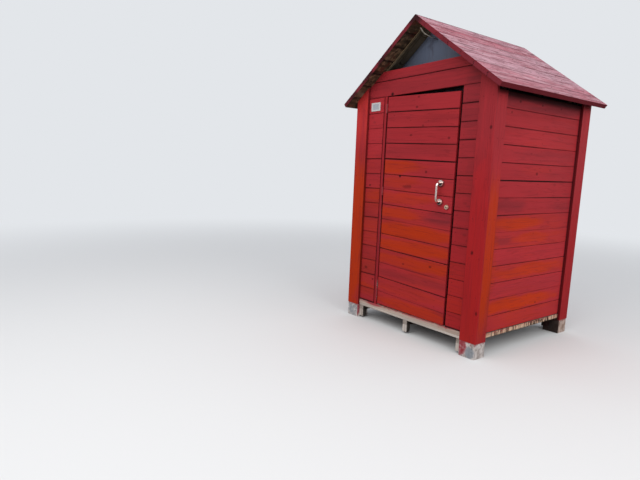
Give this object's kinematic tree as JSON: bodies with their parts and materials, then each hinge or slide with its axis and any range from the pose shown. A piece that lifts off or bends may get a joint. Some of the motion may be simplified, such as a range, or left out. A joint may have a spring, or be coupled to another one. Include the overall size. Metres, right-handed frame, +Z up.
{
  "type": "timber beach hut",
  "caption": "Small boarded timber beach hut with a gable roof, a sagging outward-opening front door, corner boards and a raised deck floor on block feet.",
  "frame": {"origin": "centre of the roof's ground rectangle, on the ground plane that the feet stand on", "axes": "+Z up; the door faces -Y; +X is to the right of someone facing the door; the ridge runs along Y"},
  "size_m": [1.628, 1.58, 2.6553],
  "materials": {
    "foot_wood": "bare weathered wood with thin white and blue-grey paint",
    "corner_board_red": "red stained boards, matt, slightly worn at the arrises",
    "wall_red": "red stained horizontal boards, matt, grain and small knots",
    "door_red": "red stained horizontal boards, matt",
    "strip_red": "red stained strip, matt",
    "roof_red": "faded pink-red boards, weathered, fine cracks along the grain",
    "gable_grey": "flat grey-blue painted panel",
    "deck_wood": "bare weathered boards, whitish, with red overspray",
    "handle_metal": "satin, slightly dulled outdoors",
    "hinge_steel": "painted over in red, rubbed at the knuckles",
    "plate_white": "white plate with a pale grey centre, blank",
    "frame_wood": "bare brown sawn softwood"
  },
  "bodies": {
    "hut": {"blank_plate": "plate_white", "corner_boards_front": "corner_board_red", "corner_boards_left": "corner_board_red", "corner_boards_rear": "corner_board_red", "corner_boards_right": "corner_board_red", "door_header": "frame_wood", "door_posts": "frame_wood", "door_stop": "frame_wood", "floor_deck": "deck_wood", "floor_joists": "frame_wood", "foot_front_left": "foot_wood", "foot_front_right": "foot_wood", "foot_rear_left": "foot_wood", "foot_rear_right": "foot_wood", "front_head_panel": "wall_red", "front_left_panel": "wall_red", "front_right_panel": "wall_red", "front_sill": "deck_wood", "gable_battens_front": "frame_wood", "gable_battens_rear": "frame_wood", "gable_panel_front": "gable_grey", "gable_panel_rear": "gable_grey", "hinge_strip": "strip_red", "hinges_frame_side": "hinge_steel", "joist_legs": "frame_wood", "left_wall": "wall_red", "post_front_left": "frame_wood", "post_front_right": "frame_wood", "post_rear_left": "frame_wood", "post_rear_right": "frame_wood", "rafters_left": "frame_wood", "rafters_right": "frame_wood", "rear_wall": "wall_red", "rear_wall_studs": "frame_wood", "right_wall": "wall_red", "roof_left_slope": "roof_red", "roof_right_slope": "roof_red", "side_wall_studs": "frame_wood", "tie_beams": "frame_wood", "wall_plate_left": "frame_wood", "wall_plate_right": "frame_wood"},
    "door": {"door_leaf": "door_red", "door_ledges": "frame_wood", "door_braces": "frame_wood", "door_handle": "handle_metal", "lock_escutcheon": "handle_metal", "hinges_leaf_side": "hinge_steel"}
  },
  "joints": [
    {"name": "door_hinge", "type": "hinge", "parent": "hut", "child": "door", "pos_m": [-0.35, -0.687, 1.12], "axis": [0, 0, -1], "range_deg": [0, 150]}
  ]
}
